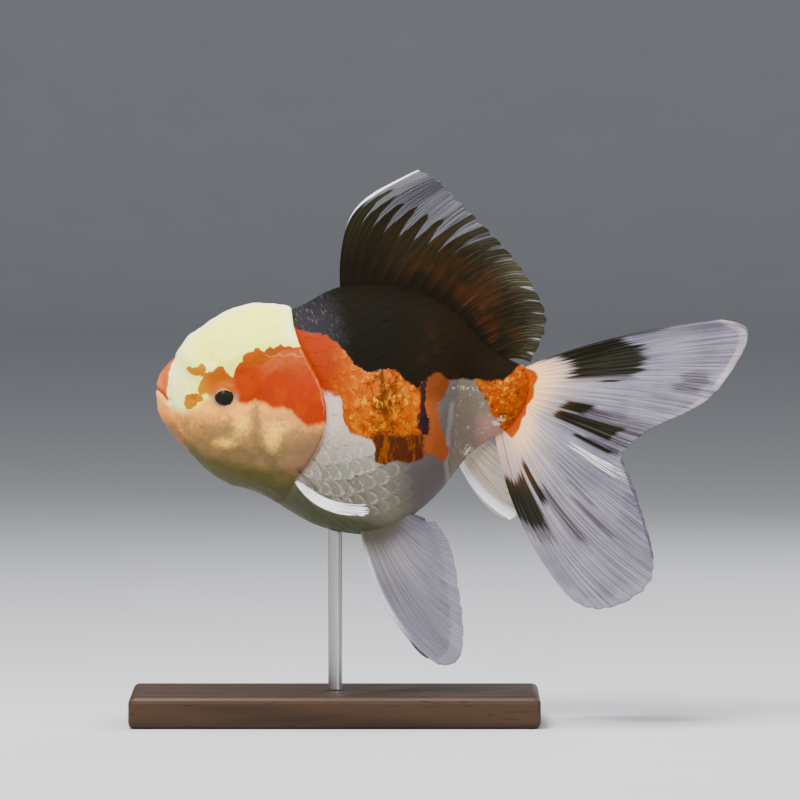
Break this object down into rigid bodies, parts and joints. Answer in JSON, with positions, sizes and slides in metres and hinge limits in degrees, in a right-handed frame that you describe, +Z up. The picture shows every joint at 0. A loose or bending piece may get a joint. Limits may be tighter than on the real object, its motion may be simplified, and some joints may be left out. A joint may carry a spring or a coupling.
{
  "type": "fancy goldfish model",
  "caption": "Life-size oranda goldfish with a small pale hood, deep round body, tall dorsal fin and spread double tail, held level on a rod over a flat base.",
  "frame": {"origin": "middle of the underside of the stand's base", "axes": "-X is the way the snout points, +X runs to the tail, -Y is the fish's left side, +Z is up"},
  "size_m": [0.1574, 0.0714, 0.1406],
  "materials": {
    "hood_skin": "wet, finely pitted pale yellow skin",
    "face_skin": "wet, translucent peach skin with paler blotches",
    "cover_skin": "wet orange-red skin, paling to peach below",
    "lip_skin": "wet pink and orange skin",
    "flank_scales": "wet scales: black back, orange saddle with gold glints, silver belly",
    "stalk_scales": "wet scales, silver in front and gold-flecked orange behind",
    "dorsal_membrane": "thin rayed membrane, black-brown with clear streaks at the margin",
    "fin_membrane": "thin rayed membrane, pearl white, the tail with black patches",
    "eye": "polished black",
    "stand_wood": "dark satin varnish",
    "stand_steel": "satin"
  },
  "bodies": {
    "root": {"hood": "hood_skin", "head": "face_skin", "upper_lip": "lip_skin", "lower_jaw": "lip_skin", "gill_cover_left": "cover_skin", "gill_cover_right": "cover_skin", "eye_left": "eye", "eye_right": "eye", "trunk": "flank_scales", "tail_stalk": "stalk_scales", "dorsal_fin": "dorsal_membrane", "tail_upper_left": "fin_membrane", "tail_upper_right": "fin_membrane", "tail_lower_left": "fin_membrane", "tail_lower_right": "fin_membrane", "pelvic_fin_left": "fin_membrane", "pelvic_fin_right": "fin_membrane", "pectoral_fin_left": "fin_membrane", "pectoral_fin_right": "fin_membrane", "anal_fin_left": "fin_membrane", "anal_fin_right": "fin_membrane", "stand_base": "stand_wood", "stand_rod": "stand_steel"}
  },
  "joints": []
}
